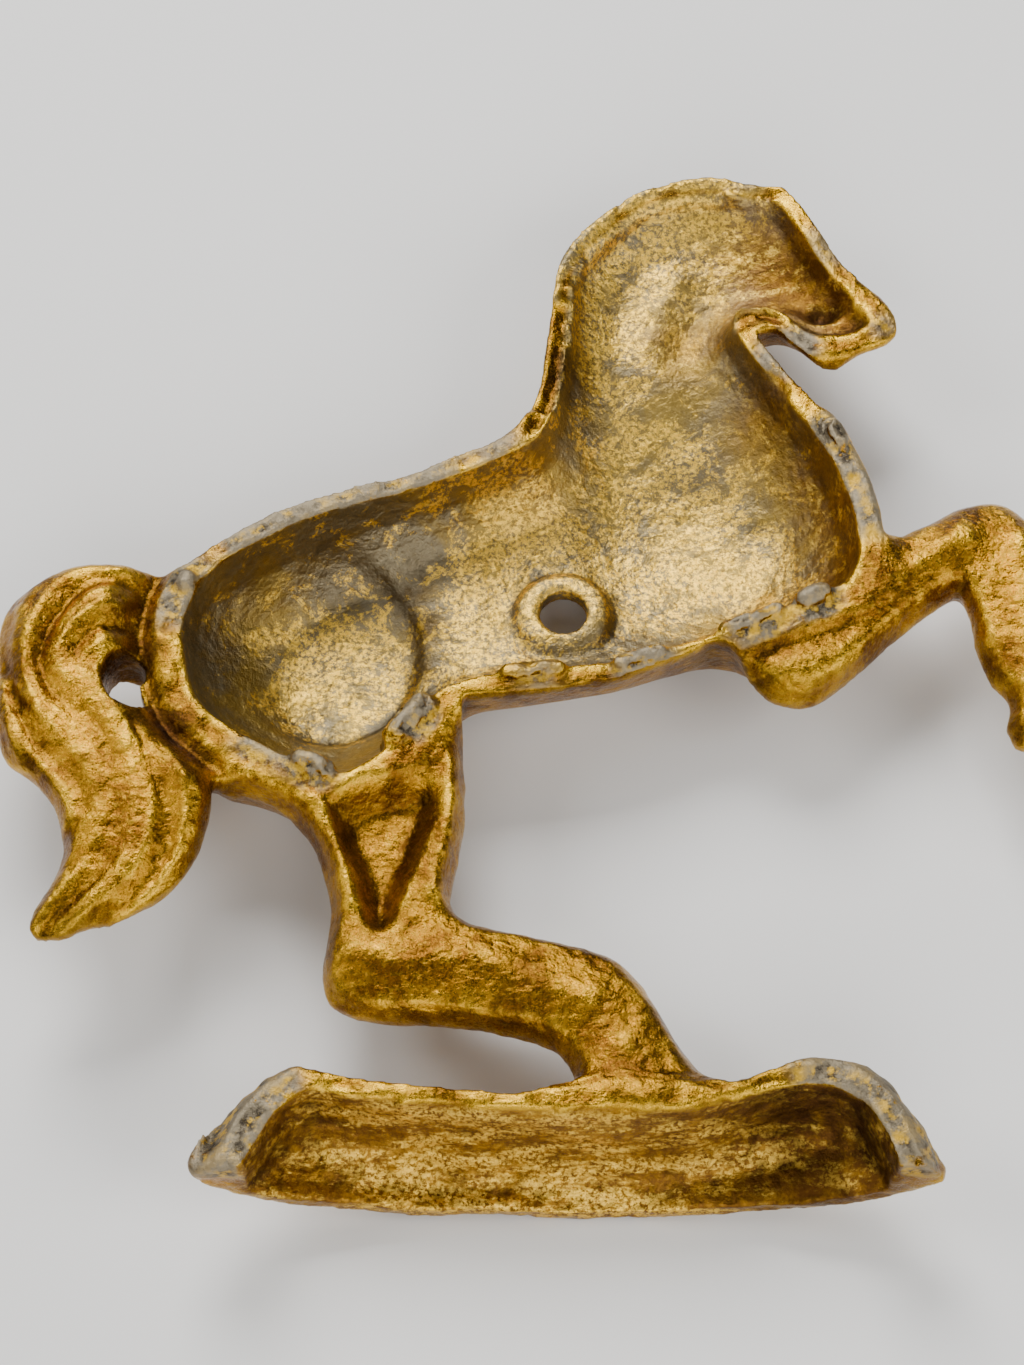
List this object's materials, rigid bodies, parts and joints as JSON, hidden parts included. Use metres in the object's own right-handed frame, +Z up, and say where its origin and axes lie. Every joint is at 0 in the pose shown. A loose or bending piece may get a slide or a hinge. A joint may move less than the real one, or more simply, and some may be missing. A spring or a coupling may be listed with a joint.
{
  "type": "prancing horse still bank",
  "caption": "Hollow cast iron coin bank in the shape of a prancing horse on a mound, laid open as two half shells with the screw that joins them.",
  "frame": {"origin": "centre of the bounding box on the table the two halves lie on, midway between them on the line they open about", "axes": "+Z up from the table, +Y from the bottom of the horse's base towards the top of its head, +X from the tail of the left half towards its nose"},
  "size_m": [0.3698, 0.184, 0.0378],
  "materials": {
    "left_half": "worn gold bronze paint over cast iron, bare grey iron on the parting face",
    "right_half": "worn gold bronze paint over cast iron, bare grey iron on the parting face",
    "screw": "dull aged steel"
  },
  "bodies": {
    "left_half": {"left_half": "left_half"},
    "right_half": {"right_half": "right_half"},
    "screw": {"screw": "screw"}
  },
  "joints": [
    {"name": "opening_turn", "type": "hinge", "parent": "left_half", "child": "right_half", "pos_m": [0, 0, 0.02215], "axis": [0, 1, 0], "range_deg": [0, 180]},
    {"name": "screw_turn", "type": "hinge", "parent": "right_half", "child": "screw", "pos_m": [-0.0965, 0.0113, 0.022], "axis": [0, 0, 1], "continuous": true}
  ]
}
